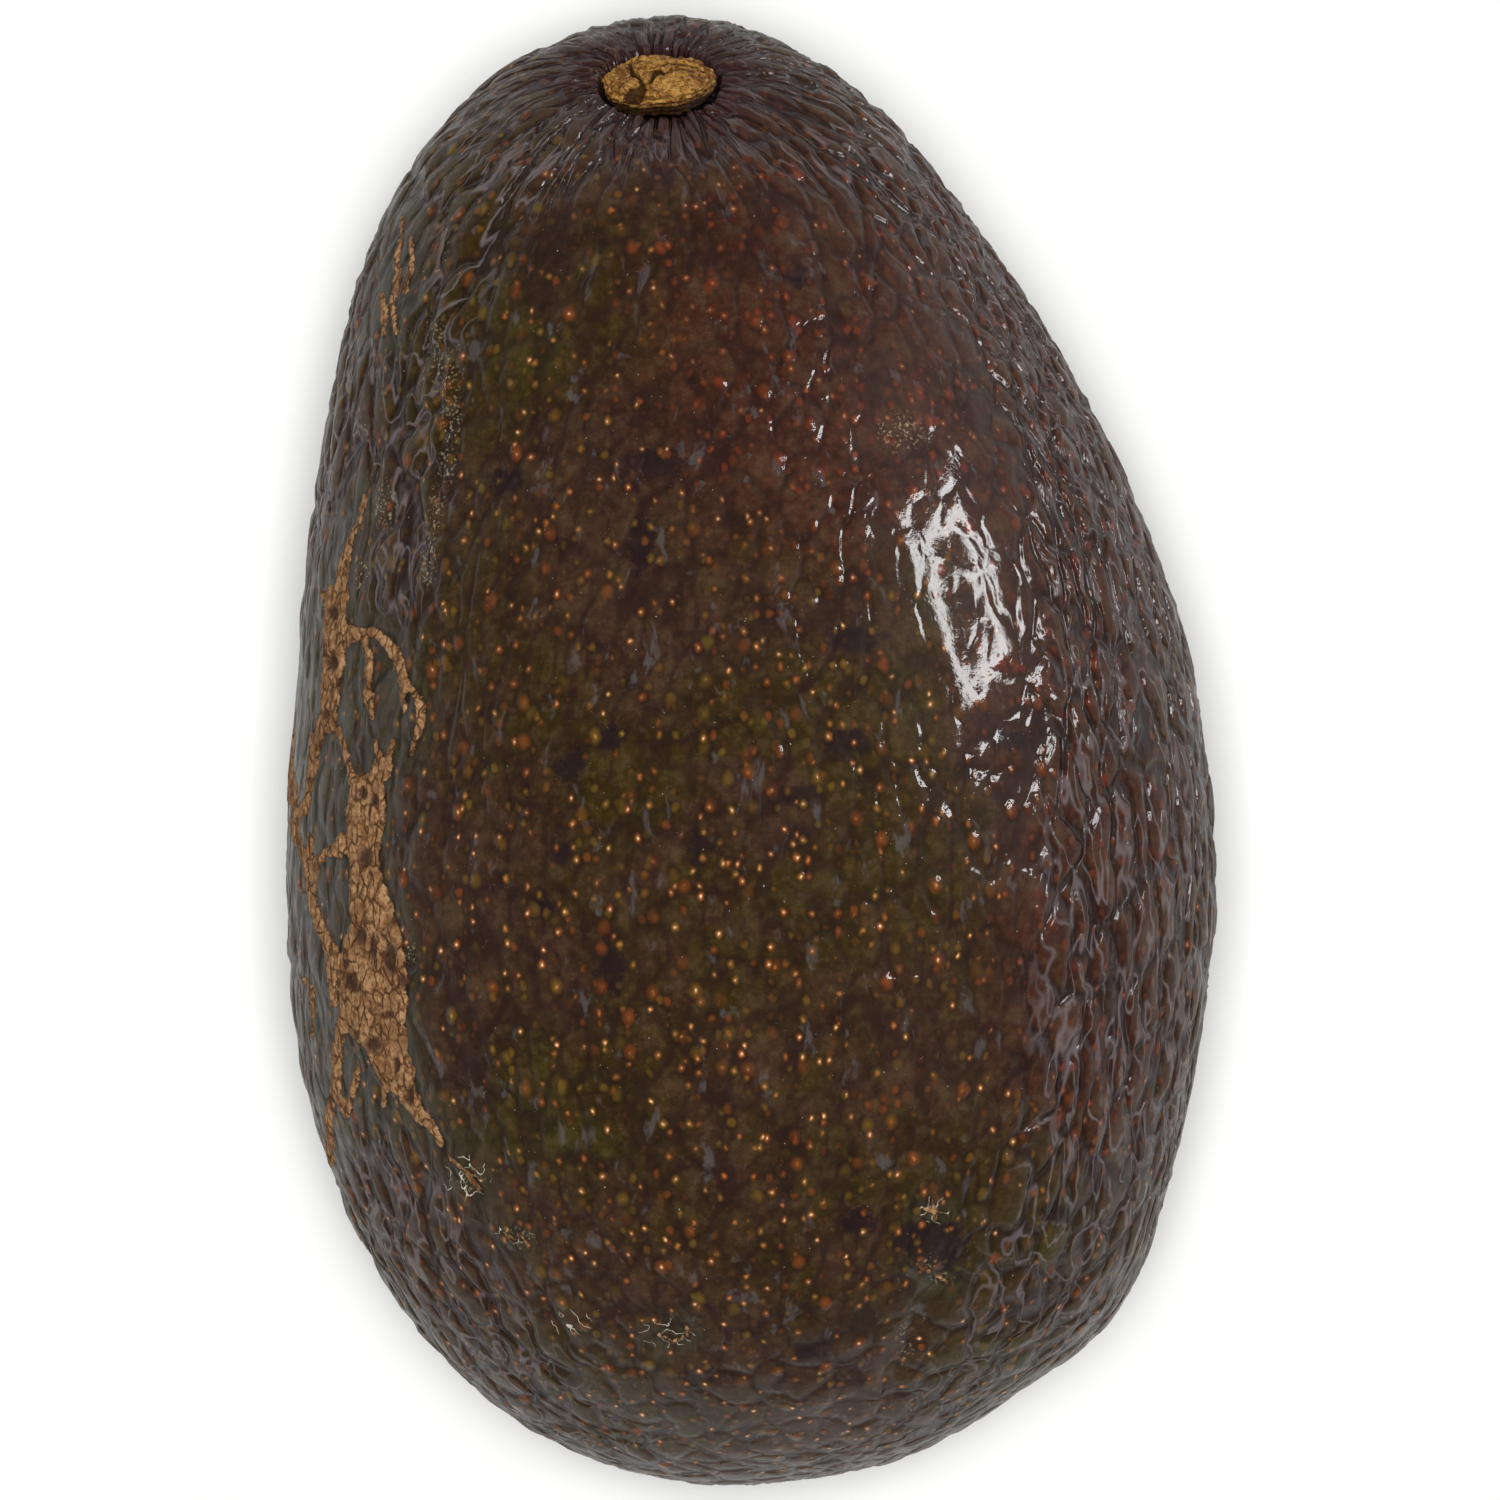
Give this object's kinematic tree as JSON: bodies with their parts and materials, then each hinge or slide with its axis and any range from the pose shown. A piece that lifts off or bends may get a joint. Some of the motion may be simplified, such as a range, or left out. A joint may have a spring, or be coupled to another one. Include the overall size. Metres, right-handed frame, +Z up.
{
  "type": "avocado",
  "caption": "Whole avocado with dark pebbled skin, an egg-shaped body leaning at the neck and a corky stem button, lying on its side on a small flat spot.",
  "frame": {"origin": "centre of the small flat spot that the fruit rests on, under its centre of mass", "axes": "+Z up, +Y along the fruit to the stem end, +X to the right as seen from above with the stem end at the top"},
  "size_m": [0.0686, 0.1084, 0.0639],
  "materials": {
    "skin": "dark purple-brown to olive pebbled fruit skin with a waxy gloss, fine light specks and tan scars",
    "cork": "dry, cracked golden-tan cork, matt"
  },
  "bodies": {
    "root": {"fruit": "skin", "stem_button": "cork"}
  },
  "joints": []
}
